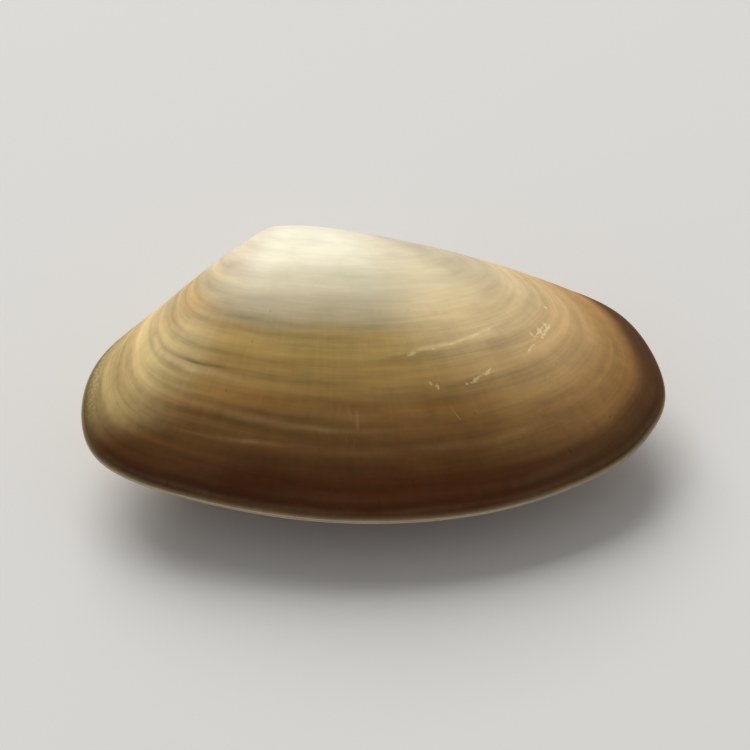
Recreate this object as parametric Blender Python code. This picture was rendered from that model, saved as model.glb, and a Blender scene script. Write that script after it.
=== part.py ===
# A wedge clam shell, closed, lying on its left valve as it rests on a level surface.
# Three pieces: right valve (uppermost), left valve (underneath) and the ligament that ties them behind the beaks.
# The shell is drawn in its own frame first: the origin is at the beaks, +X runs to the front (anterior) end,
# +Y to the hinge (dorsal) side and +Z to the right valve. One parent empty then lays the closed shell on its side.

import math

import bmesh
import bpy
import numpy as np
from mathutils import Matrix, Vector
from mathutils.bvhtree import BVHTree

SHELL_LENGTH = 0.055
GAP = 0.0003  # between pieces that touch

# The edge where the two valves meet, as shares of the length measured from the beak: (forward, towards the belly)
EDGE_POINTS = [
    (0.000, 0.025), (0.133, 0.045), (0.307, 0.074), (0.450, 0.092), (0.545, 0.127), (0.607, 0.195),
    (0.639, 0.295), (0.618, 0.361), (0.569, 0.423), (0.473, 0.483), (0.341, 0.532), (0.176, 0.558),
    (0.005, 0.555), (-0.164, 0.525), (-0.284, 0.484), (-0.339, 0.433), (-0.356, 0.352), (-0.334, 0.267),
    (-0.264, 0.188), (-0.153, 0.112), (-0.062, 0.054),
]
AROUND = 72  # points around the edge

# The valve grows outwards in rings that are copies of the edge, each turned about the hinge line
RINGS = 20
FIRST_RING = 0.04  # size of the first ring, as a share of the last
COIL_RATE = 1.02  # turn at the edge, in radians for each e-fold of size
COIL_LIMIT = 1.78  # radians, which the turn nears at the beak
FORWARD_BULGE = 0.00127  # how far the middle rings stand forward
BEAK_HOOK = 0.00177  # how far the beak's tip leans back
HOOK_REACH = 0.38  # rings smaller than this lean back

WALL = 0.0018
RIM_WIDTH = 0.0016
HINGE_PLATE = 0.0026  # added to the rim's width next to the beaks
HINGE_REACH = 0.16  # of the length, either side of the beak
HOLLOW_CENTRE = (0.130, 0.320)  # shares of the length, as in EDGE_POINTS
HOLLOW_STEPS = (0.95, 0.88, 0.78, 0.64, 0.45, 0.22)
HOLLOW_SQUARENESS = 6

LIGAMENT_SIZE = (0.0058, 0.0018, 0.0022)  # along the edge, in and out, across the two valves
LIGAMENT_BACK = 0.084  # of the length, from the beaks to its middle
LIGAMENT_SINK = 0.0003  # its middle lies this far inside the edge
LIGAMENT_SIDES = 20
LIGAMENT_BANDS = 12

# The closed shell balances on the swell of its left valve with the hinge side a little higher
HINGE_SIDE_UP = math.radians(6.8)
FRONT_UP = math.radians(-2.0)
SEAT_WEAR = 0.0001  # rubbed flat by this much where it rests

VALVE_COLOUR = (0.42, 0.32, 0.17)
LIGAMENT_COLOUR = (0.20, 0.085, 0.030)


def closed_curve(points, count):
    """Smooth closed curve through the points, read at count places evenly along its length."""
    knots = np.array(points)
    ahead = np.roll(knots, -1, axis=0)
    span = np.sqrt(np.linalg.norm(ahead - knots, axis=1))
    slope = (ahead - knots) / span[:, None]
    size = len(knots)
    system = np.zeros((size, size))
    target = np.zeros((size, 2))
    for i in range(size):
        before = i - 1
        system[i, before] = span[i]
        system[i, i] = 2 * (span[before] + span[i])
        system[i, (i + 1) % size] = span[before]
        target[i] = 3 * (span[i] * slope[before] + span[before] * slope[i])
    tangent = np.linalg.solve(system, target)
    fine = []
    for i in range(size):
        t = np.linspace(0, 1, 40, endpoint=False)[:, None]
        after = (i + 1) % size
        fine.append(
            (1 + 2 * t) * (1 - t) ** 2 * knots[i]
            + t * (1 - t) ** 2 * span[i] * tangent[i]
            + t * t * (3 - 2 * t) * knots[after]
            + t * t * (t - 1) * span[i] * tangent[after]
        )
    fine = np.vstack(fine + [knots[:1]])
    run = np.concatenate([[0], np.cumsum(np.linalg.norm(np.diff(fine, axis=0), axis=1))])
    places = np.linspace(0, run[-1], count, endpoint=False)
    return np.column_stack([np.interp(places, run, fine[:, axis]) for axis in (0, 1)])


def growth_ring(edge, size):
    """The edge at an earlier size, turned up about the hinge line, in the shell's frame."""
    turn = COIL_LIMIT * (1 - math.exp(COIL_RATE * math.log(size) / COIL_LIMIT))
    lean_back = BEAK_HOOK * max(0, 1 - size / HOOK_REACH) ** 2
    forward = size * edge[:, 0] + 4 * FORWARD_BULGE * size * (1 - size) - lean_back
    belly = size * edge[:, 1]
    return [
        Vector((x, -v * math.cos(turn), v * math.sin(turn) + GAP / 2))
        for x, v in zip(forward, belly)
    ]


def hollow_edge(edge):
    """Inner line of the flat rim: the edge drawn in towards the middle, further beside the beaks."""
    centre = np.array(HOLLOW_CENTRE) * SHELL_LENGTH
    away = edge - centre
    reach = np.linalg.norm(away, axis=1)
    beside_beak = np.exp(-((edge[:, 0] / (HINGE_REACH * SHELL_LENGTH)) ** 2)) * (edge[:, 1] < centre[1])
    width = RIM_WIDTH + HINGE_PLATE * beside_beak
    return centre + away * (1 - width / reach)[:, None]


def bridge(mesh, first, second):
    for i in range(len(first)):
        after = (i + 1) % len(first)
        mesh.faces.new((first[i], first[after], second[after], second[i]))


def cap(mesh, ring, tip):
    for i in range(len(ring)):
        mesh.faces.new((ring[i], ring[(i + 1) % len(ring)], tip))


def valve_mesh():
    """Right valve: growth rings outside, a flat rim and hinge plate, and a hollow inside."""
    edge = closed_curve(EDGE_POINTS, AROUND) * SHELL_LENGTH
    mesh = bmesh.new()
    outside = []
    for size in np.linspace(1, FIRST_RING, RINGS):
        outside.append([mesh.verts.new(place) for place in growth_ring(edge, size)])
    for smaller, larger in zip(outside[1:], outside):
        bridge(mesh, larger, smaller)
    tip_height = sum(vert.co.z for vert in outside[-1]) / AROUND
    cap(mesh, outside[-1], mesh.verts.new((-BEAK_HOOK, 0, tip_height)))
    mesh.normal_update()
    outer_surface = BVHTree.FromBMesh(mesh)

    inner = hollow_edge(edge)
    centre = np.array(HOLLOW_CENTRE) * SHELL_LENGTH

    def hollow_point(x, v, share):
        hit = outer_surface.ray_cast(Vector((x, -v, SHELL_LENGTH)), Vector((0, 0, -1)))[0]
        depth = hit.z - WALL - GAP / 2
        return mesh.verts.new((x, -v, GAP / 2 + depth * (1 - share**HOLLOW_SQUARENESS)))

    rim = [mesh.verts.new((x, -v, GAP / 2)) for x, v in inner]
    bridge(mesh, rim, outside[0])
    previous = rim
    for share in HOLLOW_STEPS:
        ring = [hollow_point(x, v, share) for x, v in centre + (inner - centre) * share]
        bridge(mesh, ring, previous)
        previous = ring
    cap(mesh, previous[::-1], hollow_point(*centre, 0))
    bmesh.ops.recalc_face_normals(mesh, faces=mesh.faces)
    return mesh


def ligament_mesh(extra):
    """A long rounded cushion astride the edge behind the beaks, larger all round by extra."""
    edge = closed_curve(EDGE_POINTS, 400) * SHELL_LENGTH
    hinge_side = edge[edge[:, 1] < HOLLOW_CENTRE[1] * SHELL_LENGTH]
    middle = hinge_side[np.argmin(abs(hinge_side[:, 0] + LIGAMENT_BACK * SHELL_LENGTH))]
    back = hinge_side[np.argmin(abs(hinge_side[:, 0] + (LIGAMENT_BACK + 0.04) * SHELL_LENGTH))]
    slant = math.atan2(back[1] - middle[1], middle[0] - back[0])
    half = [side / 2 + extra for side in LIGAMENT_SIZE]
    mesh = bmesh.new()
    bmesh.ops.create_uvsphere(mesh, u_segments=LIGAMENT_SIDES, v_segments=LIGAMENT_BANDS, radius=1)
    bmesh.ops.rotate(mesh, verts=mesh.verts, matrix=Matrix.Rotation(math.pi / 2, 3, "Y"))
    bmesh.ops.scale(mesh, verts=mesh.verts, vec=half)
    bmesh.ops.translate(mesh, verts=mesh.verts, vec=(0, -LIGAMENT_SINK, 0))
    bmesh.ops.rotate(mesh, verts=mesh.verts, matrix=Matrix.Rotation(slant, 3, "Z"))
    bmesh.ops.translate(mesh, verts=mesh.verts, vec=(middle[0], -middle[1], 0))
    return mesh


def new_object(name, mesh, material, parent):
    data = bpy.data.meshes.new(name)
    mesh.to_mesh(data)
    mesh.free()
    data.shade_smooth()
    item = bpy.data.objects.new(name, data)
    if material:
        data.materials.append(material)
    item.parent = parent
    bpy.context.scene.collection.objects.link(item)
    return item


def new_material(name, colour, roughness):
    material = bpy.data.materials.new(name)
    material.use_nodes = True
    shader = material.node_tree.nodes["Principled BSDF"]
    shader.inputs["Base Color"].default_value = (*colour, 1)
    shader.inputs["Roughness"].default_value = roughness
    shader.inputs["Metallic"].default_value = 0
    return material


def cut_ligament_seat(valve, cutter):
    cut = valve.modifiers.new("ligament seat", "BOOLEAN")
    cut.operation = "DIFFERENCE"
    cut.solver = "EXACT"
    cut.object = cutter


def lay_down(parent, pieces):
    """Turn the closed shell to its resting lean, wear its lowest spot flat and stand it on the origin."""
    lean = Matrix.Rotation(HINGE_SIDE_UP, 4, "X") @ Matrix.Rotation(-FRONT_UP, 4, "Y")
    upright = lean.inverted()
    verts = [vert for piece in pieces for vert in piece.data.vertices]
    seat = min((lean @ vert.co).z for vert in verts) + SEAT_WEAR
    for vert in verts:
        spot = lean @ vert.co
        if spot.z < seat:
            vert.co = upright @ Vector((spot.x, spot.y, seat))
    corners = np.array([lean @ vert.co for vert in verts])
    low = corners.min(axis=0)
    high = corners.max(axis=0)
    place = Vector((-(low[0] + high[0]) / 2, -(low[1] + high[1]) / 2, -low[2]))
    parent.matrix_world = Matrix.Translation(place) @ lean


def main():
    for item in list(bpy.data.objects):
        bpy.data.objects.remove(item)
    shell = bpy.data.objects.new("clam", None)
    bpy.context.scene.collection.objects.link(shell)

    seat = new_object("ligament_seat_cutter", ligament_mesh(GAP), None, shell)
    seat.hide_render = True
    seat.display_type = "WIRE"

    right = new_object("right_valve", valve_mesh(), new_material("right valve shell", VALVE_COLOUR, 0.4), shell)
    mirrored = valve_mesh()
    bmesh.ops.scale(mirrored, verts=mirrored.verts, vec=(1, 1, -1))
    bmesh.ops.reverse_faces(mirrored, faces=mirrored.faces)
    left = new_object("left_valve", mirrored, new_material("left valve shell", VALVE_COLOUR, 0.4), shell)
    for valve in (right, left):
        cut_ligament_seat(valve, seat)

    horn = new_material("ligament horn", LIGAMENT_COLOUR, 0.45)
    ligament = new_object("ligament", ligament_mesh(0), horn, shell)
    lay_down(shell, (right, left, ligament))


main()
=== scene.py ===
import math
from types import SimpleNamespace

import bmesh
import bpy
import numpy as np
from mathutils import Matrix, Vector, noise
from mathutils.bvhtree import BVHTree


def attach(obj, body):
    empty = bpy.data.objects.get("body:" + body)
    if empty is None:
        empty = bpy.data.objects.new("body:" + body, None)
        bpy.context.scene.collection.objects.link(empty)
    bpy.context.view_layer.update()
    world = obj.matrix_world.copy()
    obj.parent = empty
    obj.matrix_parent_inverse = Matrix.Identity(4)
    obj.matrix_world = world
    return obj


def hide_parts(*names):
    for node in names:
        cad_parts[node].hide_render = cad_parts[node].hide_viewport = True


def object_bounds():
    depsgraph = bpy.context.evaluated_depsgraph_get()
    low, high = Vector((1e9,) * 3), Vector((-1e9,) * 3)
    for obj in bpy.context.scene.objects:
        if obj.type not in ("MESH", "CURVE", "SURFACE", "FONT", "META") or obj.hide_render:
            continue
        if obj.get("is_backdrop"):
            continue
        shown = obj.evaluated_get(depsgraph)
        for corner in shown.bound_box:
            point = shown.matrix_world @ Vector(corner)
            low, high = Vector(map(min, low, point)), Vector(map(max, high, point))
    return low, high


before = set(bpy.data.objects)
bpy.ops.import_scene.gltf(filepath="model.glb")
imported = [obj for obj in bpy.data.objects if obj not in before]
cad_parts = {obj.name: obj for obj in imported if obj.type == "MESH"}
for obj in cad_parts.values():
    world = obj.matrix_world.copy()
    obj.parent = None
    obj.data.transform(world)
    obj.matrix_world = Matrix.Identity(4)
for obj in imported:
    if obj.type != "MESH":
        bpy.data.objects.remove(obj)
cadLow, cadHigh = (Vector(corner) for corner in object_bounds())
print("frame loaded")


class Wire:  # a shader socket that does sums
    def __init__(self, paint, socket):
        self.paint = paint
        self.socket = socket

    def sums(self, operation, first, second=None):
        values = {0: first} if second is None else {0: first, 1: second}
        return self.paint.add("ShaderNodeMath", {"operation": operation}, values)

    def __add__(self, other):
        return self.sums("ADD", self, other)

    def __radd__(self, other):
        return self.sums("ADD", other, self)

    def __sub__(self, other):
        return self.sums("SUBTRACT", self, other)

    def __rsub__(self, other):
        return self.sums("SUBTRACT", other, self)

    def __mul__(self, other):
        return self.sums("MULTIPLY", self, other)

    def __rmul__(self, other):
        return self.sums("MULTIPLY", other, self)

    def __truediv__(self, other):
        return self.sums("DIVIDE", self, other)

    def __rtruediv__(self, other):
        return self.sums("DIVIDE", other, self)

    def __neg__(self):
        return self.sums("SUBTRACT", 0, self)

    def __abs__(self):
        return self.sums("ABSOLUTE", self)


class Paint:  # one material and its nodes
    def __init__(self, name):
        self.material = bpy.data.materials.new(name)
        self.material.use_nodes = True
        self.tree = self.material.node_tree
        self.tree.nodes.clear()

    def add(self, kind, settings, sockets, output=0):
        node = self.tree.nodes.new(kind)
        for name, value in settings.items():
            if name == "stops":
                self.setStops(node.color_ramp, value)
            else:
                setattr(node, name, value)
        for name, value in sockets.items():
            if isinstance(value, Wire):
                self.tree.links.new(value.socket, node.inputs[name])
            else:
                node.inputs[name].default_value = value
        return Wire(self, node.outputs[output]) if node.outputs else None

    def setStops(self, ramp, stops):
        while len(ramp.elements) < len(stops):
            ramp.elements.new(0.5)
        for element, (place, colour) in zip(ramp.elements, stops):
            element.position = place
            element.color = srgb(*colour)

    def ramp(self, value, stops):
        return self.add("ShaderNodeValToRGB", {"stops": stops}, {"Fac": value})

    def mix(self, share, first, second, how="MIX"):  # 6 and 7 are the node's colours, 2 its mixed one
        settings = {"data_type": "RGBA", "blend_type": how}
        return self.add("ShaderNodeMix", settings, {0: share, 6: first, 7: second}, 2)

    def tint(self, share, under, colour):  # a plain colour laid over another
        return self.mix(share, under, srgb(*colour))

    def fade(self, value, low, high):  # 0 below low, 1 above high, smooth between
        settings = {"interpolation_type": "SMOOTHSTEP"}
        return self.add("ShaderNodeMapRange", settings, {"Value": value, 1: low, 2: high, 3: 0, 4: 1})

    def turn(self, across, ahead):  # angle of a direction, in degrees
        radians = self.add("ShaderNodeMath", {"operation": "ARCTAN2"}, {0: across, 1: ahead})
        return radians * math.degrees(1)

    def joined(self, x, y, z):
        return self.add("ShaderNodeCombineXYZ", {}, {0: x, 1: y, 2: z})

    def parts(self, vector):
        node = self.add("ShaderNodeSeparateXYZ", {}, {0: vector}).socket.node
        return [Wire(self, socket) for socket in node.outputs]

    def kept(self, name):  # the three values that a mesh keeps at its points under one name
        return self.parts(self.add("ShaderNodeAttribute", {"attribute_name": name}, {}, 1))

    def place(self):  # Object coordinates
        return self.add("ShaderNodeTexCoord", {}, {}, 3)

    def grain(self, vector, scale, detail=2, roughness=0.5):
        sockets = {"Vector": vector, "Scale": scale, "Detail": detail, "Roughness": roughness}
        return self.add("ShaderNodeTexNoise", {}, sockets)

    def bump(self, height, distance):
        return self.add("ShaderNodeBump", {}, {"Height": height, "Distance": distance, "Strength": 1})

    def finish(self, sockets):
        surface = self.add("ShaderNodeBsdfPrincipled", {}, sockets)
        self.add("ShaderNodeOutputMaterial", {"target": "ALL"}, {"Surface": surface})
        return self.material


def srgb(red, green, blue):  # a colour as a painter reads it, 0 to 255, made linear
    shares = [channel / 255 for channel in (red, green, blue)]
    return (*[s / 12.92 if s < 0.04045 else ((s + 0.055) / 1.055) ** 2.4 for s in shares], 1)


def newPiece(name, mesh):
    data = bpy.data.meshes.new(name)
    mesh.to_mesh(data)
    mesh.free()
    piece = bpy.data.objects.new(name, data)
    bpy.context.scene.collection.objects.link(piece)
    return piece


# A closed wedge clam lying on its left valve. Its own frame: origin at the beaks, +X to the front end,
# +Y to the hinge side, +Z to the right valve, which is uppermost. All of it is in metres.

shell = {
    "length": 0.055,
    "edge": [  # where the valves meet, in shares of the length from the beak: forward, towards the belly
        (0.000, 0.025), (0.133, 0.045), (0.307, 0.074), (0.450, 0.092), (0.545, 0.127), (0.607, 0.195),
        (0.639, 0.295), (0.618, 0.361), (0.569, 0.423), (0.473, 0.483), (0.341, 0.532), (0.176, 0.558),
        (0.005, 0.555), (-0.164, 0.525), (-0.284, 0.484), (-0.339, 0.433), (-0.356, 0.352),
        (-0.334, 0.267), (-0.264, 0.188), (-0.153, 0.112), (-0.062, 0.054),
    ],
    "hingeSide": 0.32,  # the edge's hinge side lies nearer the hinge line than this share of the length
    "bellySide": 0.16,  # its belly side lies further from it than this
    "around": 360,  # points around the edge
    "coilRate": 1.02,  # turn at the edge, in radians for each e-fold of size
    "coilLimit": 1.78,  # radians, which the turn nears at the beak
    "forwardBulge": 0.00127,  # how far the middle rings stand forward
    "beakHook": 0.00177,  # how far the beak's tip leans back
    "hookReach": 0.38,  # rings smaller than this lean back
    "gap": 0.0003,  # between the two valves
    "seam": 0.0001,  # what is left of the gap at the edge
    "closesAt": 0.94,  # size from which the gap narrows
    "hingeSideUp": 6.8,  # degrees, the lean it rests at
    "frontUp": -2.0,
}
nudge = 0.01  # small change of size that shows which way the shell grows


def closedCurve(points, count, steps=60):  # smooth closed curve, read evenly along its length
    knots = np.array(points)
    ahead = np.roll(knots, -1, axis=0)
    span = np.sqrt(np.linalg.norm(ahead - knots, axis=1))
    slope = (ahead - knots) / span[:, None]
    size = len(knots)
    system = np.zeros((size, size))
    target = np.zeros((size, 2))
    for i in range(size):
        before = i - 1
        system[i, before] = span[i]
        system[i, i] = 2 * (span[before] + span[i])
        system[i, (i + 1) % size] = span[before]
        target[i] = 3 * (span[i] * slope[before] + span[before] * slope[i])
    tangent = np.linalg.solve(system, target)
    fine = []
    t = np.linspace(0, 1, steps, endpoint=False)[:, None]
    for i in range(size):
        after = (i + 1) % size
        start = (1 + 2 * t) * (1 - t) ** 2 * knots[i] + t * (1 - t) ** 2 * span[i] * tangent[i]
        end = t * t * (3 - 2 * t) * knots[after] + t * t * (t - 1) * span[i] * tangent[after]
        fine.append(start + end)
    fine = np.vstack(fine + [knots[:1]])
    run = np.concatenate([[0], np.cumsum(np.linalg.norm(np.diff(fine, axis=0), axis=1))])
    places = np.linspace(0, run[-1], count, endpoint=False)
    return np.column_stack([np.interp(places, run, fine[:, axis]) for axis in (0, 1)])


edgeShares = closedCurve(shell["edge"], shell["around"])
edge = edgeShares * shell["length"]
edgeAngle = np.degrees(np.arctan2(edgeShares[:, 0], edgeShares[:, 1]))  # 0 to the belly, 90 to the front


def growthPoint(forward, belly, size):  # where a point of the edge was when the shell was that size
    turn = shell["coilLimit"] * (1 - size ** (shell["coilRate"] / shell["coilLimit"]))
    leanBack = shell["beakHook"] * max(0, 1 - size / shell["hookReach"]) ** 2
    along = size * forward + 4 * shell["forwardBulge"] * size * (1 - size) - leanBack
    late = max(0, (size - shell["closesAt"]) / (1 - shell["closesAt"]))
    apart = shell["gap"] - (shell["gap"] - shell["seam"]) * late * late * (3 - 2 * late)
    return Vector((along, -size * belly * math.cos(turn), size * belly * math.sin(turn) + apart / 2))


def leaning():  # the closed shell's lean, and its place in the CAD box
    lean = Matrix.Rotation(math.radians(shell["hingeSideUp"]), 4, "X")
    lean = lean @ Matrix.Rotation(-math.radians(shell["frontUp"]), 4, "Y")
    places = []
    for size in np.linspace(0.02, 1, 60):  # every third point of 60 rings is enough to find the box
        for forward, belly in edge[::3]:
            place = growthPoint(forward, belly, size)
            places += [lean @ place, lean @ Vector((place.x, place.y, -place.z))]
    low = Vector(np.min(places, axis=0))
    high = Vector(np.max(places, axis=0))
    middle = (cadLow + cadHigh - low - high) / 2
    return Matrix.Translation((middle.x, middle.y, cadHigh.z - high.z)) @ lean


laid = leaning()
print("shell laid, beaks at", [round(v, 5) for v in laid.translation])

ligament = {
    "size": (0.0058, 0.0018, 0.0022),  # along the edge, in and out, across the two valves
    "back": 0.084,  # of the length, from the beaks to its middle
    "slantOver": 0.04,  # of the length, from its middle to the point of the edge that it slants towards
    "sink": 0.0003,  # its middle lies this far inside the edge
    "clear": 0.0001,  # left free around it
    "sides": 128,
    "bands": 160,
    "strandTwist": 0.5,  # radians
    "strandScale": 700,  # noise: how soon the strands twist
    "fibreScale": (420, 7),  # along a strand, around the ligament
    "lumpScale": 900,
    "frayScale": (1500, 11),
    "frayFrom": 0.1,  # noise above this stands out as a fray
    "fraySeed": 3,
    "fibreHeight": 0.00012,
    "lumpHeight": 0.000096,
    "frayHeight": 0.00016,
    "highest": 0.00022,
    "crease": 0.00012,  # half width of the furrow along its middle
    "grain": (3200, 3),  # noise in the colour: scale, detail
    "grainHeight": 0.00003,
    "roughness": (0.42, 0.2),  # and how much the grain changes it
    "lumpTone": 0.45,  # how far each moves the colour along its ramp
    "fibreTone": 0.25,
    "grainTone": 0.6,
    "colours": [
        (0.10, (74, 34, 14)), (0.35, (128, 60, 24)), (0.55, (176, 86, 38)), (0.75, (206, 122, 62)),
        (0.92, (226, 174, 116)),
    ],
}


def ligamentPlace():  # middle of the ligament on the edge, and its slant
    hingeSide = edge[edgeShares[:, 1] < shell["hingeSide"]]
    middle, back = (
        hingeSide[np.argmin(abs(hingeSide[:, 0] + share * shell["length"]))]
        for share in (ligament["back"], ligament["back"] + ligament["slantOver"])
    )
    slant = math.atan2(back[1] - middle[1], middle[0] - back[0])
    turned = Matrix.Rotation(slant, 4, "Z")
    sunk = Matrix.Translation((0, -ligament["sink"], 0))
    return Matrix.Translation((middle[0], -middle[1], 0)) @ turned @ sunk


ligamentSpot = ligamentPlace()


def seatDepth(place):  # how far a point has to go in to clear the ligament
    local = ligamentSpot.inverted() @ place
    along, out, across = (side / 2 + ligament["clear"] for side in ligament["size"])
    share = 1 - (local.x / along) ** 2 - (local.z / across) ** 2
    return max(0, local.y + out * math.sqrt(share)) if share > 0 else 0


relief = {
    "startsAt": 0.02,  # size, because the beak's tip has none
    "crowding": 0.00025,  # it fades where two rings a nudge apart are closer than this
    "lipFade": 0.01,  # it fades over this much size before the lip
    "wave": 0.00006,
    "waveScale": (2, 11),  # noise: along the ring, from ring to ring
    "line": 0.000007,
    "lineScale": (3, 75),
    "stray": (0.009, 0.003),  # how far a ring strays in size, broadly and finely
    "strayScale": (5, 20),
    "wornTo": 0.36,  # size up to which the old beak is worn smooth
    "wornFade": 0.3,  # size over which the lines then come in
    # growth checks: size of the shell then, slope in size for each 100 degrees, breadth,
    # dark and light share, middle and half width in degrees
    "checks": [
        (0.560, 0.00, 0.0060, 0.20, 0.12, -8, 30), (0.592, 0.00, 0.0050, 0.10, 0.15, -6, 26),
        (0.605, -0.13, 0.0034, 0.10, 1.00, 38, 12), (0.642, -0.03, 0.0100, 0.24, 0.00, 26, 22),
        (0.657, 0.00, 0.0090, 0.22, 0.10, -22, 22), (0.695, 0.00, 0.0036, 0.75, 0.25, -27, 7),
        (0.696, 0.02, 0.0075, 0.15, 1.10, -33, 14), (0.722, -0.03, 0.0120, 0.10, 0.00, 24, 22),
        (0.748, 0.00, 0.0110, 0.30, 0.10, 8, 30), (0.778, 0.02, 0.0085, 0.45, 0.20, -9, 24),
        (0.790, 0.00, 0.0045, 0.10, 0.20, 6, 14), (0.812, 0.00, 0.0070, 0.25, 0.10, -22, 20),
        (0.839, -0.08, 0.0045, 0.05, 0.35, -10, 9), (0.830, 0.00, 0.0080, 0.15, 0.12, 26, 26),
        (0.880, 0.00, 0.0130, 0.35, 0.00, -8, 44), (0.925, 0.00, 0.0110, 0.15, 0.08, 30, 50),
        (0.964, 0.00, 0.0070, 0.20, 0.15, 0, 90),
    ],
    "checkStep": 0.00004,  # height
    "checkReach": 6,  # breadths, past which a check has no effect
    "away": 2.1,  # breadths from a dark line to its light one
    "checkPatches": (0.9, 9),  # strength of the noise that breaks a check up, and its degrees
    "checkNicks": (0.5, 1),
    "checkSeed": 60,  # gives each check its own noise
}


def ringNoise(forward, belly, size, scales):  # noise that runs along the growth rings
    along, across = scales
    return noise.noise(Vector((forward * along, belly * along, size * across)))


def ringRelief(size, forward, belly, angle):  # height over the smooth shell, dark share, light share
    broad, fine = relief["stray"]
    broadScale, fineScale = relief["strayScale"]
    place = size + broad * noise.noise(Vector((forward * broadScale, belly * broadScale, 3.1)))
    place += fine * noise.noise(Vector((forward * fineScale, belly * fineScale, 12.4)))
    height = relief["wave"] * ringNoise(forward, belly, place, relief["waveScale"])
    height += relief["line"] * ringNoise(forward, belly, place, relief["lineScale"])
    height *= min(1, max(0, (size - relief["wornTo"]) / relief["wornFade"]))
    dark = 0
    light = 0
    for when, slope, breadth, groove, ridge, middle, half in relief["checks"]:
        away = (place - when - slope * (angle - middle) / 100) / breadth
        if abs(away) > relief["checkReach"]:
            continue
        here = math.exp(-(((angle - middle) / half) ** 2))
        for strength, degrees in (relief["checkPatches"], relief["checkNicks"]):
            here *= 1 + strength * noise.noise(Vector((angle / degrees, when * relief["checkSeed"], 0)))
        beyond = away - relief["away"]
        cut = here * groove * math.exp(-away * away)
        rise = here * ridge * math.exp(-beyond * beyond)
        height += relief["checkStep"] * (rise - cut)
        dark += cut
        light += rise
    return height, dark, light


chipsAndGlints = {
    "depth": 0.00004,
    "youngest": 0.4,  # none where the shell was smaller
    # direction from the beak in degrees, size of the shell there, slant in degrees,
    # half length, half width
    # on the right valve, the row near size 0.70 and the crossing cluster near size 0.65 at 56 to 65 degrees
    # are partly painted highlight: glints of light on the growth rings
    "right": [
        (28.4, 0.6250, 8, 0.00046, 0.00016), (33.6, 0.6190, 6, 0.00044, 0.00011),
        (38.2, 0.6125, 5, 0.00040, 0.00010), (44.6, 0.6040, 9, 0.00056, 0.00013),
        (48.2, 0.5990, 12, 0.00034, 0.00012), (59.6, 0.6620, 10, 0.00120, 0.00015),
        (57.6, 0.6540, 12, 0.00090, 0.00012), (55.8, 0.6490, 76, 0.00050, 0.00011),
        (58.0, 0.6510, 72, 0.00060, 0.00012), (60.4, 0.6530, 78, 0.00060, 0.00012),
        (53.0, 0.6760, 16, 0.00060, 0.00013), (65.0, 0.6330, 70, 0.00030, 0.00016),
        (56.6, 0.6690, 66, 0.00042, 0.00012), (30.2, 0.6990, -58, 0.00046, 0.00015),
        (31.0, 0.7070, -62, 0.00044, 0.00014), (36.8, 0.7115, 6, 0.00026, 0.00012),
        (39.3, 0.7060, 20, 0.00074, 0.00016), (42.0, 0.6960, 26, 0.00050, 0.00018),
    ],
    "left": [
        (14.0, 0.600, 4, 0.00050, 0.00016), (17.0, 0.606, 2, 0.00036, 0.00014),
        (44.0, 0.760, 30, 0.00044, 0.00018), (-20.0, 0.680, -20, 0.00046, 0.00016),
        (2.0, 0.846, 70, 0.00042, 0.00014), (57.0, 0.610, 5, 0.00050, 0.00018),
        (47.0, 0.756, 34, 0.00036, 0.00014),
    ],
}


def chipAndGlintSpots(which):  # where each chip and glint lies, the way it runs, its half length and half width
    found = []
    bellySide = np.flatnonzero(edgeShares[:, 1] > shell["bellySide"])
    for angle, size, slant, half, width in chipsAndGlints[which]:
        column = bellySide[np.argmin(abs(edgeAngle[bellySide] - angle))]
        forward, down = edge[column]
        spot = growthPoint(forward, down, size)
        aside = edge[(column + 1) % shell["around"]] - edge[column - 1]
        aside = aside if aside[0] > 0 else -aside
        along = (growthPoint(forward + aside[0], down + aside[1], size) - spot).normalized()
        out = (growthPoint(forward, down, size + nudge) - spot).normalized()
        tilt = math.radians(slant)
        found.append((spot, along * math.cos(tilt) - out * math.sin(tilt), half, width))
    return found


def chipAndGlintShare(place, spots):  # 1 in the middle of a patch, chip and glint alike, one half at its edge, 0 well outside
    deepest = 0
    for spot, along, half, width in spots:
        away = place - spot
        if away.length < 2 * half:
            across = away - along * away.dot(along)
            off = math.hypot(away.dot(along) / half, across.length / width)
            deepest = max(deepest, 1 - off / 2)
    return deepest


valve = {
    "outerRings": 214,
    "lipRings": 6,
    "innerRings": 30,
    "lip": 0.00012,  # radius of the rounded edge
    "wall": 0.0018,
    "rimWidth": 0.0016,
    "hingePlate": 0.0026,  # added to the rim's width next to the beaks
    "hingeReach": 0.16,  # of the length, either side of the beak
    "insideCentre": (0.130, 0.320),  # shares of the length, as in the edge
    "insideSquareness": 6,
    "lipKept": 0.1,  # what the kept size gains around the lip
    "insideKept": 0.9,  # what it then gains up to the middle of the inside
    "beakRounding": 0.05,  # size up to which the beak is smoothed
    "beakPasses": 30,
}


def lipCorner(column, rimPoint):  # where the rounding starts, ends and turns about
    corner = growthPoint(*edge[column], 1)
    up = (growthPoint(*edge[column], 1 - 1.5 * nudge) - corner).normalized()
    inward = Vector((rimPoint[0], -rimPoint[1], corner.z)) - corner
    inward.normalize()
    half = up.angle(inward) / 2
    start = valve["lip"] / math.tan(half)
    middle = corner + (up + inward).normalized() * (valve["lip"] / math.sin(half))
    return corner + up * start, corner + inward * start, middle, start


def flatRim():  # middle of the inside, and the inner line of the flat rim around it
    centre = np.array(valve["insideCentre"]) * shell["length"]
    reach = np.linalg.norm(edge - centre, axis=1)
    beside = np.exp(-((edgeShares[:, 0] / valve["hingeReach"]) ** 2))
    beside *= edgeShares[:, 1] < valve["insideCentre"][1]
    width = valve["rimWidth"] + valve["hingePlate"] * beside
    return centre, centre + (edge - centre) * (1 - width / reach)[:, None]


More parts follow.
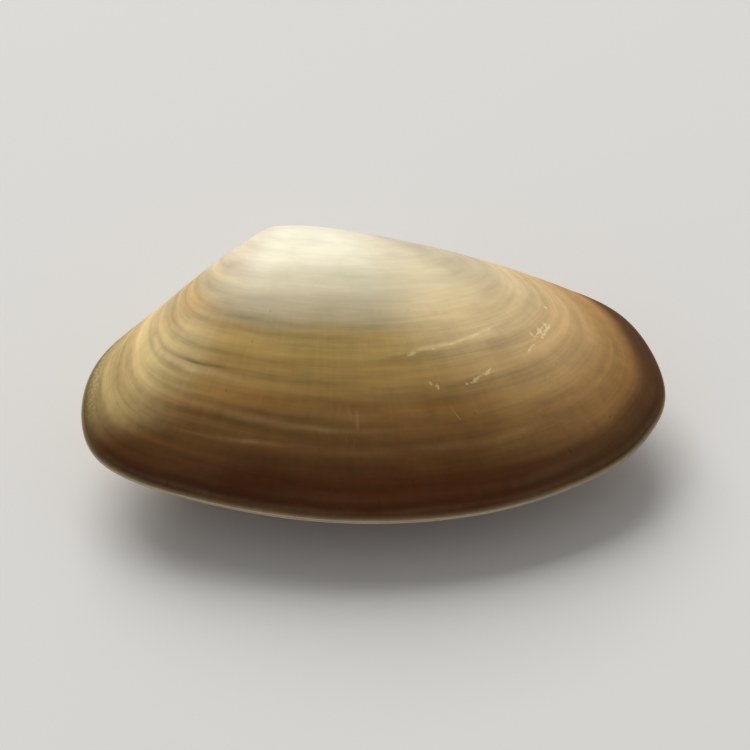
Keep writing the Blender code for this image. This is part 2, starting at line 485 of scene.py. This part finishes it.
def lipStarts(corners):  # size at which the outside ends and the lip starts, all around the edge
    growing = [(growthPoint(*place, 1) - growthPoint(*place, 1 - nudge)).length / nudge for place in edge]
    return [1 - corner[3] / step for corner, step in zip(corners, growing)]


def makeShell():  # the right valve's mesh without chips and glints, with what its points know of their growth
    mesh = bmesh.new()
    lipEnd = valve["outerRings"] + valve["lipRings"]
    rings = lipEnd + valve["innerRings"]
    bmesh.ops.create_uvsphere(mesh, u_segments=shell["around"], v_segments=rings, radius=1)
    mesh.verts.ensure_lookup_table()
    layers = mesh.verts.layers.float_vector
    growth = layers.new("growth")
    layers.new("spot")
    layers.new("marks")
    centre, rimLine = flatRim()
    corners = [lipCorner(column, rimLine[column]) for column in range(shell["around"])]
    lastSize = lipStarts(corners)
    inner = []
    outer = []
    for vert in mesh.verts:
        ring = round(math.acos(max(-1, min(1, vert.co.z))) / math.pi * rings)
        column = round(math.atan2(vert.co.y, vert.co.x) / math.tau * shell["around"]) % shell["around"]
        if ring <= valve["outerRings"]:
            size = lastSize[column] * ring / valve["outerRings"]
            vert.co = growthPoint(*edge[column], size)
            outer.append((vert, column, size))
            kept = size
        elif ring <= lipEnd:
            share = (ring - valve["outerRings"]) / valve["lipRings"]
            first, last, middle = corners[column][:3]
            vert.co = middle + (first - middle).slerp(last - middle, share) * valve["lip"]
            kept = 1 + valve["lipKept"] * share
        else:
            share = (rings - ring) / (valve["innerRings"] - 1)
            forward, belly = centre + (rimLine[column] - centre) * share
            vert.co = (forward, -belly, 0)
            inner.append((vert, share))
            kept = 1 + valve["lipKept"] + valve["insideKept"] * (1 - share)
        vert[growth] = (*edgeShares[column], kept)
    hollowOut(mesh, inner)
    beak = [vert for vert, column, size in outer if size < valve["beakRounding"]]
    for again in range(valve["beakPasses"]):
        bmesh.ops.smooth_vert(
            mesh, verts=beak, factor=0.5, use_axis_x=True, use_axis_y=True, use_axis_z=True,
        )
    bmesh.ops.recalc_face_normals(mesh, faces=mesh.faces)
    raiseRelief(mesh, outer, lastSize)
    return mesh


def hollowOut(mesh, inner):  # lifts the inside until only the wall is left above it
    growth = mesh.verts.layers.float_vector["growth"]
    outside = [face for face in mesh.faces if all(vert[growth].z <= 1 for vert in face.verts)]
    surface = BVHTree.FromPolygons(
        [vert.co.copy() for vert in mesh.verts],
        [[vert.index for vert in face.verts] for face in outside],
    )
    floor = shell["seam"] / 2
    for vert, share in inner:
        above = surface.ray_cast(Vector((vert.co.x, vert.co.y, shell["length"])), Vector((0, 0, -1)))[0]
        depth = above.z - valve["wall"] - floor
        vert.co.z = floor + depth * (1 - share ** valve["insideSquareness"])


def raiseRelief(mesh, outer, lastSize):  # growth lines, the hollow and the ligament's seat
    spot = mesh.verts.layers.float_vector["spot"]
    marks = mesh.verts.layers.float_vector["marks"]
    mesh.normal_update()
    normals = [vert.normal.copy() for vert in mesh.verts]
    for vert, column, size in outer:
        vert[spot] = vert.co
        if size < relief["startsAt"]:
            continue
        before = growthPoint(*edge[column], size - nudge / 2)
        after = growthPoint(*edge[column], min(1, size + nudge / 2))
        share = min(1, (after - before).length / relief["crowding"])
        share *= min(1, (lastSize[column] - size) / relief["lipFade"])
        height, dark, light = ringRelief(size, *edgeShares[column], edgeAngle[column])
        height -= hollow["depth"] * hollowShare(vert.co, edgeShares[column][1])
        vert.co += normals[vert.index] * height * share
        vert[marks] = (dark * share, light * share, 0)
        depth = seatDepth(vert.co)
        if depth:
            vert.co += ligamentSpot.to_3x3() @ Vector((0, -depth, 0))


hollow = {  # long and narrow, in front of the beaks, across both valves
    "depth": 0.00015,
    "back": 0.001,  # it starts this far behind the beaks
    "length": 0.0235,
    "half": 0.0017,  # half width in its middle
    "least": 0.0001,  # half width at its ends
    "taper": 0.6,
    "within": 0.14,  # of the shell's length, from the hinge line
}


def hollowShare(place, belly):  # 1 along the middle of the hollow, 0 outside it
    along = (place.x + hollow["back"]) / hollow["length"]
    if not 0 < along < 1 or belly > hollow["within"]:
        return 0
    half = hollow["half"] * (4 * along * (1 - along)) ** hollow["taper"] + hollow["least"]
    return max(0, 1 - (place.z / half) ** 2)


def makeValve(name, source, which):  # the right valve, or its mirror image, with its own chips and glints
    mesh = source.copy()
    marks = mesh.verts.layers.float_vector["marks"]
    growth = mesh.verts.layers.float_vector["growth"]
    spots = chipAndGlintSpots(which)
    inChipsAndGlints = []
    for vert in mesh.verts:
        if chipsAndGlints["youngest"] < vert[growth].z < 1:
            share = chipAndGlintShare(vert.co, spots)
            if share:
                inChipsAndGlints.append((vert, share))
    for vert, share in inChipsAndGlints:
        vert[marks] = (vert[marks].x, vert[marks].y, share)
        vert.co -= vert.normal * share * chipsAndGlints["depth"]
    if which == "left":
        bmesh.ops.scale(mesh, verts=mesh.verts, vec=(1, 1, -1))
        bmesh.ops.reverse_faces(mesh, faces=mesh.faces)
    mesh.transform(laid)
    for vert in mesh.verts:
        vert.co.z = max(vert.co.z, cadLow.z)  # rubbed flat where it rests
    piece = newPiece(name, mesh)
    piece.data.shade_smooth()
    return piece


shellSource = makeShell()
rightValve = makeValve("rightValve", shellSource, "right")
leftValve = makeValve("leftValve", shellSource, "left")
shellSource.free()
print("valves made")

valveColours = {
    # by the size of the shell when each part grew: middle, hind end, front end
    # the middle and front ramps darken to a deep brown towards the belly edge: partly the shell's own
    # brown, partly painted shade of the belly, which faces down
    "middle": [
        # the brightest cream near size 0.30 is partly the worn beak's own pale colour, partly a painted
        # highlight
        (0.00, (238, 230, 210)), (0.30, (250, 244, 216)), (0.36, (240, 231, 201)), (0.40, (224, 213, 180)),
        (0.44, (218, 206, 171)), (0.48, (199, 184, 149)), (0.53, (184, 168, 131)), (0.556, (180, 160, 114)),
        (0.578, (180, 149, 90)), (0.62, (178, 148, 86)), (0.655, (167, 135, 75)), (0.712, (171, 135, 77)),
        (0.745, (147, 107, 55)), (0.79, (127, 90, 45)), (0.84, (114, 77, 38)), (0.885, (102, 64, 29)),
        (0.915, (83, 46, 14)), (0.95, (79, 37, 2)), (0.982, (77, 37, 2)), (0.990, (120, 96, 66)),
        # the pale line at the very edge, here and in the other ramps, is partly the lip's own colour,
        # partly painted highlight where the lip catches the light
        (0.998, (196, 176, 146)),
    ],
    "hind": [
        (0.00, (238, 230, 210)), (0.12, (238, 228, 202)), (0.30, (229, 214, 186)), (0.40, (218, 197, 162)),
        (0.47, (213, 194, 147)), (0.53, (194, 162, 110)), (0.56, (206, 172, 117)), (0.64, (217, 190, 134)),
        (0.72, (209, 184, 128)), (0.80, (199, 170, 114)), (0.87, (198, 172, 114)), (0.92, (170, 148, 97)),
        (0.95, (134, 113, 69)), (0.98, (108, 93, 54)), (0.998, (196, 182, 146)),
    ],
    "front": [
        (0.00, (238, 230, 210)), (0.14, (240, 231, 210)), (0.30, (230, 217, 185)), (0.38, (235, 219, 181)),
        (0.45, (234, 215, 172)), (0.54, (227, 200, 151)), (0.60, (228, 199, 147)), (0.66, (216, 182, 129)),
        (0.74, (198, 162, 109)), (0.80, (178, 139, 85)), (0.86, (170, 127, 74)), (0.89, (150, 110, 63)),
        (0.92, (110, 74, 40)), (0.95, (86, 54, 26)), (0.985, (80, 51, 26)), (0.998, (186, 168, 138)),
    ],
    "dark": (60, 40, 20),  # growth checks and pits
    "light": (238, 216, 166),  # ridges beside the checks, partly their own paler colour, partly painted highlight; and scratches
    # pale chips, partly painted glints of light on the growth rings
    "chipAndGlint": (250, 224, 172),
    "olive": (150, 140, 78),
    "rosy": (190, 132, 96),
    "hollow": (84, 52, 30),
    "skin": (124, 88, 44),
    "inside": (222, 214, 206),
    "moss": (74, 76, 44),
    "straw": (206, 190, 104),
    "slope": (172, 156, 124),  # painted shade on the flank beside the beak, which falls away from the light
    # fine scratches: size and direction in degrees at each end, half width in degrees, strength
    "scratches": [
        ((0.735, 31.5), (0.790, 33.2), 0.16, 0.16), ((0.745, 52.0), (0.790, 49.5), 0.16, 0.16),
        ((0.752, 13.3), (0.796, 13.1), 0.50, 0.08), ((0.744, 11.2), (0.776, 11.7), 0.60, 0.035),
        ((0.792, 11.0), (0.842, 10.6), 0.40, 0.035), ((0.815, 12.3), (0.845, 12.0), 0.30, 0.04),
    ],
}

valveLook = {
    # noise by place: scale, detail
    "placeNoise": {
        "cloud": (130, 3), "patch": (420, 3), "pits": (800, 2), "mottle": (1100, 2), "specks": (3400, 2),
        "grit": (6500, 2),
    },
    # noise along the growth rings: scale along a ring, scale from ring to ring, detail, roughness
    "ringNoise": {"bands": (2.4, 15, 3, 0.6), "lines": (3.5, 62, 2, 0.5), "hairs": (5, 190, 2, 0.5)},
    # noise down from the beak: scale in degrees, scale from ring to ring, where it starts
    "rayNoise": {"rays": (0.55, 2.2, 0), "streaks": (1.3, 12, 5)},
    # sizes between which something comes in
    "young": (0.20, 0.38),
    "grown": (0.40, 0.66),
    "later": (0.66, 0.84),
    "rim": (0.962, 0.986),
    "inside": (1.06, 1.12),
    # colours of the rings
    "ringStray": 0.05,  # how far in size noise moves them
    # towards the hind end they are those of a smaller size: by how much, degrees, sizes
    "hindOld": (0.030, (2, 30), (0.50, 0.57)),  # ends between the two sizes
    "hindNew": (0.042, (4, 22), (0.70, 0.78)),  # starts between them
    "hindAngles": (18, 37),  # degrees between which an end's own colours come in
    "frontAngles": (18, 46),
    "hindStray": 12,  # degrees by which noise moves that
    "frontStray": 14,
    "hindLean": (12, 0.6),  # degrees further out for each unit of size, and the size where that is none
    "hindNarrows": (9, (0.84, 0.94)),  # degrees further out once the shell is that large
    "frontNarrows": (11, (0.56, 0.76)),
    "tintEnds": (0.78, 0.90),  # sizes between which the olive and rosy tints end
    "olive": (0.12, (0.52, 0.70)),  # strength, and the noise's values between which it comes in
    "rosy": (0.10, (0.30, 0.48)),  # strength, and the noise's values between which it goes
    # painted shade on the flank beside the beak
    "slope": (0.5, (44, 60), (0.12, 0.24), (0.46, 0.57)),  # strength, degrees, starting and ending sizes
    # how much each darkens or lightens the rings
    "lineStrength": (0.28, 0.22, 0.5),  # on the beak, then added on the young and on the grown shell
    "bandDepth": (1.3, 0.6, (12, 30)),  # and what is added towards the hind end, between these degrees
    "lineDepth": 0.24,
    "hairDepth": 0.22,
    "rayDepth": 0.18,
    "streakDepth": (0.05, 0.04),  # and what is added on the later shell
    "patchDepth": 0.12,
    "mottleDepth": (0.06, 0.20),
    "check": (0.30, 0.22),  # how much darker, how much of the dark colour
    "ridge": (0.25, 0.30),  # how much lighter, how much of the light colour: partly painted highlight on the ridges
    # hinge side, in metres from the beaks and from the seam
    "hollowWidens": (-0.0010, 0.0055),
    "hollowNarrows": (0.0150, 0.0225),
    "hollowHalf": (0.0015, 0.00003),  # half width, and the least that is left of it
    "hollowEdge": (0.75, 1.1),  # shares of the half width
    "hollowStarts": (-0.0012, -0.0004),
    "hollowWithin": (0.12, 0.15),  # shares of the length, from the hinge line
    "hollowShare": (0.75, 0.4),  # strength, and how much noise changes it
    "skinEdge": (0.0006, 0.0024),
    "skinStray": 0.002,
    "skinStarts": (0.001, 0.002),
    "skinWithin": (0.18, 0.32),
    "skinShare": (0.30, 0.7, (0.42, 0.58)),  # strength, what patches add, the noise's values where they do
    # wear
    "endAngles": (38, 48),
    "endSizes": (0.88, 0.97),
    "endStray": 0.1,
    "straw": (0.45, (0.50, 0.66)),
    "moss": (0.42, (0.37, 0.49)),
    "pit": (0.40, (0.72, 0.78)),
    "scratchStarts": (-0.05, 0.1),  # shares of its length
    "scratchEnds": (0.9, 1.05),
    "scratchCore": 0.3,  # share of its half width that is full strength
    "scratchBreaks": (0.40, 0.56),
    "chipAndGlintEdge": (0.44, 0.64),
    "chipAndGlintGrit": 0.7,
    "chipAndGlintShare": (0.36, 0.32),  # strength, and what is added towards the front, where the painted glints lie
    # surface
    "roughness": (0.34, 0.14),  # and how much the lines change it
    "roughRim": (0.10, (0.8, 0.98)),
    "roughChipAndGlint": 0.2,
    "relief": (0.5, 0.3, 0.2),  # shares of lines, hairs and bands
    "reliefHeight": 0.000016,
    "specular": 0.15,
}


def readShell(paint):  # what the colours are worked out from, at each point of a valve
    look = valveLook
    forward, belly, size = paint.kept("growth")
    dark, light, chipAndGlint = paint.kept("marks")
    along, rise = paint.kept("spot")[::2]
    angle = paint.turn(forward, belly)
    where = paint.place()
    noises = {name: paint.grain(where, *row) for name, row in look["placeNoise"].items()}
    for name, (ringScale, sizeScale, detail, roughness) in look["ringNoise"].items():
        vector = paint.joined(forward * ringScale, belly * ringScale, size * sizeScale)
        noises[name] = paint.grain(vector, 1, detail, roughness)
    for name, (angleScale, sizeScale, start) in look["rayNoise"].items():
        noises[name] = paint.grain(paint.joined(angle * angleScale, size * sizeScale, start), 1)
    stages = {name: paint.fade(size, *look[name]) for name in ("young", "grown", "later", "rim", "inside")}
    return SimpleNamespace(
        belly=belly, size=size, angle=angle, along=along, rise=rise, dark=dark, light=light, chipAndGlint=chipAndGlint,
        **noises, **stages,
    )


def shellEnds(paint, at):  # shares of the hind and of the front end's colours
    look = valveLook
    lean, noneAt = look["hindLean"]
    narrows, sizes = look["hindNarrows"]
    inward = (at.size - noneAt) * lean + narrows * paint.fade(at.size, *sizes)
    hind = paint.fade(-at.angle + (at.cloud - 0.5) * look["hindStray"] - inward, *look["hindAngles"])
    narrows, sizes = look["frontNarrows"]
    inward = narrows * paint.fade(at.size, *sizes)
    front = paint.fade(at.angle + (at.cloud - 0.5) * look["frontStray"] - inward, *look["frontAngles"])
    return hind, front


def ringColours(paint, at, hind, front):  # by the size of the shell when each ring grew
    tone, look = valveColours, valveLook
    then = at.size + (at.bands - 0.5) * look["ringStray"] + (at.cloud - 0.5) * look["ringStray"]
    shift, angles, sizes = look["hindOld"]
    then = then - shift * paint.fade(-at.angle, *angles) * (1 - paint.fade(at.size, *sizes))
    shift, angles, sizes = look["hindNew"]
    then = then - shift * paint.fade(-at.angle, *angles) * paint.fade(at.size, *sizes)
    then = then + (at.size - then) * at.rim
    colour = paint.mix(front, paint.ramp(then, tone["middle"]), paint.ramp(then, tone["front"]))
    colour = paint.mix(hind, colour, paint.ramp(then, tone["hind"]))
    tinted = at.grown * (1 - paint.fade(at.size, *look["tintEnds"]))
    strong, values = look["olive"]
    colour = paint.tint(paint.fade(at.cloud, *values) * tinted * strong, colour, tone["olive"])
    strong, values = look["rosy"]
    colour = paint.tint((1 - paint.fade(at.cloud, *values)) * tinted * strong, colour, tone["rosy"])
    # painted shade: the flank beside the beak darkens where it falls to the front, away from the light
    strong, angles, starts, ends = look["slope"]
    slope = paint.fade(at.angle, *angles) * paint.fade(at.size, *starts) * (1 - paint.fade(at.size, *ends))
    return paint.tint(slope * strong, colour, tone["slope"])


def withLines(paint, at, colour):  # growth lines, faint on the worn beak, and soft streaks down from it
    tone, look = valveColours, valveLook
    onBeak, onYoung, onGrown = look["lineStrength"]
    strength = onBeak + onYoung * at.young + onGrown * at.grown
    depth, more, angles = look["bandDepth"]
    lines = (at.bands - 0.5) * (depth + more * paint.fade(-at.angle, *angles))
    lines = lines + (at.lines - 0.5) * look["lineDepth"] + (at.hairs - 0.5) * look["hairDepth"]
    shade = 1 + lines * strength
    depth, more = look["streakDepth"]
    streaks = (at.rays - 0.5) * look["rayDepth"] + (at.streaks - 0.5) * (depth + more * at.later)
    shade = shade + streaks * at.grown
    depth, more = look["mottleDepth"]
    shade = shade + (at.patch - 0.5) * look["patchDepth"] + (at.mottle - 0.5) * (depth + more * at.later)
    # the ridges beside the checks are lightened: partly their own paler colour, partly painted highlight
    darker, darkTint = look["check"]
    lighter, lightTint = look["ridge"]
    shade = shade - darker * at.dark + lighter * at.light
    colour = paint.mix(1, colour, paint.joined(shade, shade, shade), "MULTIPLY")
    colour = paint.tint(at.dark * darkTint, colour, tone["dark"])
    return paint.tint(at.light * lightTint, colour, tone["light"])


def withHinge(paint, at, colour):  # a brown hollow in front of the beaks, brown skin behind them
    tone, look = valveColours, valveLook
    part = paint.fade(at.along, *look["hollowWidens"]) * (1 - paint.fade(at.along, *look["hollowNarrows"]))
    half, least = look["hollowHalf"]
    inHollow = 1 - paint.fade(abs(at.rise) / (half * part + least), *look["hollowEdge"])
    inHollow = inHollow * (1 - paint.fade(at.belly, *look["hollowWithin"]))
    inHollow = inHollow * paint.fade(at.along, *look["hollowStarts"])
    strong, change = look["hollowShare"]
    colour = paint.tint(inHollow * (strong + change * (at.patch - 0.5)), colour, tone["hollow"])
    onSkin = 1 - paint.fade(abs(at.rise) + (at.patch - 0.5) * look["skinStray"], *look["skinEdge"])
    onSkin = onSkin * paint.fade(-at.along, *look["skinStarts"])
    onSkin = onSkin * (1 - paint.fade(at.belly, *look["skinWithin"]))
    strong, more, values = look["skinShare"]
    return paint.tint(onSkin * (strong + more * paint.fade(at.patch, *values)), colour, tone["skin"])


def withWear(paint, at, colour):  # specks of straw and moss at the hind end, pits and fine scratches
    tone, look = valveColours, valveLook
    end = paint.fade(-at.angle, *look["endAngles"])
    end = end * paint.fade(at.size + (at.cloud - 0.5) * look["endStray"], *look["endSizes"]) * (1 - at.rim)
    strong, values = look["straw"]
    colour = paint.tint(end * paint.fade(at.specks, *values) * strong, colour, tone["straw"])
    strong, values = look["moss"]
    colour = paint.tint(end * (1 - paint.fade(at.specks, *values)) * strong, colour, tone["moss"])
    strong, values = look["pit"]
    colour = paint.tint(paint.fade(at.pits, *values) * at.grown * strong, colour, tone["dark"])
    broken = paint.fade(at.patch, *look["scratchBreaks"])
    for (firstSize, firstAngle), (lastSize, lastAngle), width, strong in tone["scratches"]:
        share = (at.size - firstSize) / (lastSize - firstSize)
        off = abs(at.angle - (firstAngle + share * (lastAngle - firstAngle)))
        within = paint.fade(share, *look["scratchStarts"]) * (1 - paint.fade(share, *look["scratchEnds"]))
        scratch = within * broken * (1 - paint.fade(off, look["scratchCore"] * width, width))
        colour = paint.tint(scratch * strong, colour, tone["light"])
    return colour


def shellPaint(name):
    paint = Paint(name)
    tone, look = valveColours, valveLook
    at = readShell(paint)
    hind, front = shellEnds(paint, at)
    colour = ringColours(paint, at, hind, front)
    for layer in (withLines, withHinge, withWear):
        colour = layer(paint, at, colour)
    # pale chips, partly painted highlight where they stand for glints of light on the rings
    ragged = at.chipAndGlint + (at.specks - 0.5) + (at.grit - 0.5) * look["chipAndGlintGrit"]
    inChipsAndGlints = paint.fade(ragged, *look["chipAndGlintEdge"])
    strong, more = look["chipAndGlintShare"]
    colour = paint.tint(inChipsAndGlints * (strong + more * front), colour, tone["chipAndGlint"])
    colour = paint.tint(at.inside, colour, tone["inside"])
    rough, change = look["roughness"]
    atRim, sizes = look["roughRim"]
    rough = rough + change * (at.lines - 0.5) + atRim * paint.fade(at.size, *sizes)
    ofLines, ofHairs, ofBands = look["relief"]
    height = at.lines * ofLines + at.hairs * ofHairs + at.bands * ofBands
    return paint.finish({
        "Base Color": colour,
        "Roughness": rough + look["roughChipAndGlint"] * inChipsAndGlints,
        "Normal": paint.bump(height, look["reliefHeight"]),
        "Specular IOR Level": look["specular"],
    })


for piece, node in ((rightValve, "right_valve"), (leftValve, "left_valve")):
    piece.data.materials.append(shellPaint(node.replace("_", " ") + " shell"))
    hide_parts(node)
    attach(piece, "root")
print("valves painted")


def strandNoise(x, strand, scales, seed=0):  # noise that runs along the strands
    along, around = scales
    return noise.noise(Vector((x * along, math.cos(strand) * around, math.sin(strand) * around + seed)))


def makeLigament():
    mesh = bmesh.new()
    bmesh.ops.create_uvsphere(mesh, u_segments=ligament["sides"], v_segments=ligament["bands"], radius=1)
    bmesh.ops.rotate(mesh, verts=mesh.verts, matrix=Matrix.Rotation(math.pi / 2, 3, "Y"))
    bmesh.ops.scale(mesh, verts=mesh.verts, vec=[side / 2 for side in ligament["size"]])
    mesh.normal_update()
    marks = mesh.verts.layers.float_vector.new("marks")
    for vert in mesh.verts:
        x, y, z = vert.co
        strand = math.atan2(z / ligament["size"][2], y / ligament["size"][1])
        strand += ligament["strandTwist"] * noise.noise(vert.co * ligament["strandScale"])
        fibres = strandNoise(x, strand, ligament["fibreScale"])
        lumps = noise.noise(vert.co * ligament["lumpScale"])
        frays = strandNoise(x, strand, ligament["frayScale"], ligament["fraySeed"])
        frays = max(0, frays - ligament["frayFrom"])
        crease = math.exp(-((z / ligament["crease"]) ** 2))
        vert[marks] = (fibres, lumps, 0)
        height = ligament["fibreHeight"] * (fibres - crease)
        height += ligament["lumpHeight"] * lumps + ligament["frayHeight"] * frays
        vert.co += vert.normal * min(height, ligament["highest"])
    mesh.transform(laid @ ligamentSpot)
    piece = newPiece("ligamentHorn", mesh)
    piece.data.shade_smooth()
    return piece


def ligamentPaint():
    paint = Paint("ligament horn")
    fibres, lumps = paint.kept("marks")[:2]
    fine = paint.grain(paint.place(), *ligament["grain"])
    tone = 0.5 + ligament["lumpTone"] * lumps + ligament["fibreTone"] * fibres
    rough, change = ligament["roughness"]
    return paint.finish({
        "Base Color": paint.ramp(tone + (fine - 0.5) * ligament["grainTone"], ligament["colours"]),
        "Roughness": rough + change * (fine - 0.5),
        "Normal": paint.bump(fine, ligament["grainHeight"]),
    })


horn = makeLigament()
horn.data.materials.append(ligamentPaint())
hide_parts("ligament")
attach(horn, "root")
print("ligament made")

stage = {"half": 3, "floor": (228, 226, 222), "roughness": 0.7}


def makeStage():
    mesh = bmesh.new()
    bmesh.ops.create_grid(mesh, x_segments=1, y_segments=1, size=stage["half"])
    bmesh.ops.translate(mesh, verts=mesh.verts, vec=(0, 0, cadLow.z))
    floor = newPiece("floor", mesh)
    paint = Paint("pale floor")
    finish = {"Base Color": srgb(*stage["floor"]), "Roughness": stage["roughness"]}
    floor.data.materials.append(paint.finish(finish))
    floor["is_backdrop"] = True


makeStage()

# wide soft key from behind and above, as a window would give, and an even room
lights = {"room": 0.333, "key": 0.850, "distance": 1.8, "size": 1.35, "aim": (-0.25, 0.62, 0.72)}


def makeLights():
    world = bpy.data.worlds.new("soft room")
    world.use_nodes = True
    world.node_tree.nodes["Background"].inputs["Color"].default_value = (1, 1, 1, 1)
    world.node_tree.nodes["Background"].inputs["Strength"].default_value = lights["room"]
    bpy.context.scene.world = world
    lamp = bpy.data.lights.new("key", "AREA")
    lamp.size = lights["size"]
    lamp.energy = lights["key"] * math.pi**2 * lights["distance"] ** 2
    key = bpy.data.objects.new("key", lamp)
    bpy.context.scene.collection.objects.link(key)
    aim = Vector(lights["aim"]).normalized()
    key.location = (cadLow + cadHigh) / 2 + aim * lights["distance"]
    key.rotation_euler = aim.to_track_quat("Z", "Y").to_euler()


makeLights()

# seen from the belly side, this far above the plane where the valves meet
camera = {"above": 60.4, "turned": -2.35, "lens": 180, "fill": 0.78, "nearest": 0.01}


def makeCamera():
    lens = bpy.data.cameras.new("camera")
    lens.lens = camera["lens"]
    lens.clip_start = camera["nearest"]
    eye = bpy.data.objects.new("camera", lens)
    bpy.context.scene.collection.objects.link(eye)
    above = math.radians(camera["above"])
    turned = math.radians(camera["turned"])
    right = Vector((math.cos(turned), -math.sin(turned), 0))
    up = Vector((math.sin(turned) * math.sin(above), math.cos(turned) * math.sin(above), math.cos(above)))
    axes = laid.to_3x3() @ Matrix((right, up, right.cross(up))).transposed()
    distance = (cadHigh.x - cadLow.x) / camera["fill"] * camera["lens"] / lens.sensor_width
    eye.matrix_world = Matrix.Translation((cadLow + cadHigh) / 2 + axes.col[2] * distance) @ axes.to_4x4()
    bpy.context.scene.camera = eye


makeCamera()
bpy.context.scene.view_settings.view_transform = "Standard"
